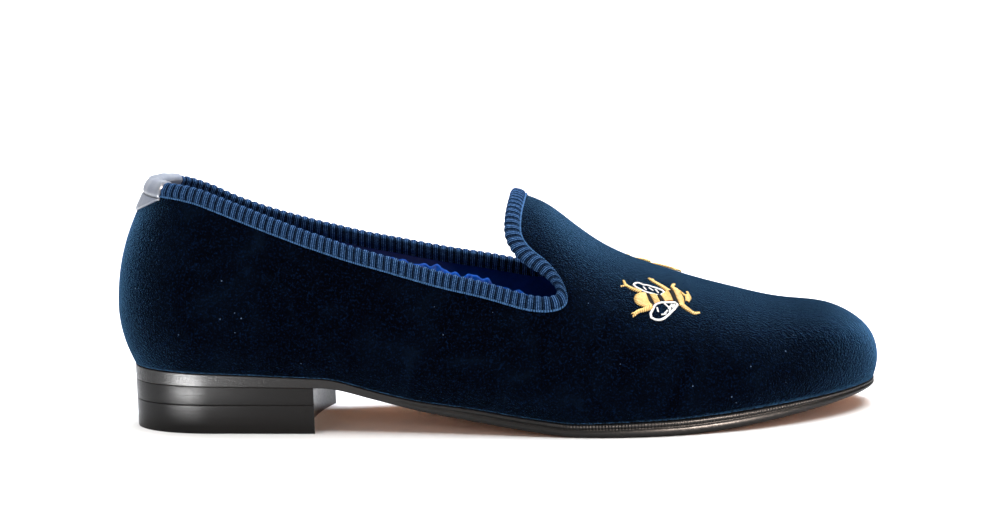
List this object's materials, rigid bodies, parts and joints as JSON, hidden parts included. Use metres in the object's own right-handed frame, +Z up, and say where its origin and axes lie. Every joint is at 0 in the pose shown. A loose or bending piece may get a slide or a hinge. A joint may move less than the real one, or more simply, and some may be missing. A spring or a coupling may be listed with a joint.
{
  "type": "velvet slipper loafer",
  "caption": "Low slip-on dress shoe with a velvet upper, ribbed binding round a wide throat, satin heel tab, embroidered bee, thin leather sole and stacked heel.",
  "frame": {"origin": "on the floor under the middle of the shoe, the centre of the bounding box's base", "axes": "+X towards the toe, +Y towards the inner side of the right foot, +Z up"},
  "size_m": [0.298, 0.0992, 0.0989],
  "materials": {
    "velvet": "navy velvet with a soft blue sheen",
    "grosgrain": "slate blue ribbed ribbon",
    "satin": "pale silver blue satin",
    "sock": "smooth royal blue lining leather",
    "sole_leather": "black burnished edge over a natural underside",
    "heel_leather": "black inked and waxed"
  },
  "bodies": {
    "root": {"upper": "velvet", "topline_binding": "grosgrain", "heel_tab": "satin", "insole": "sock", "outsole": "sole_leather", "heel_stack": "heel_leather", "heel_top_piece": "heel_leather"}
  },
  "joints": []
}
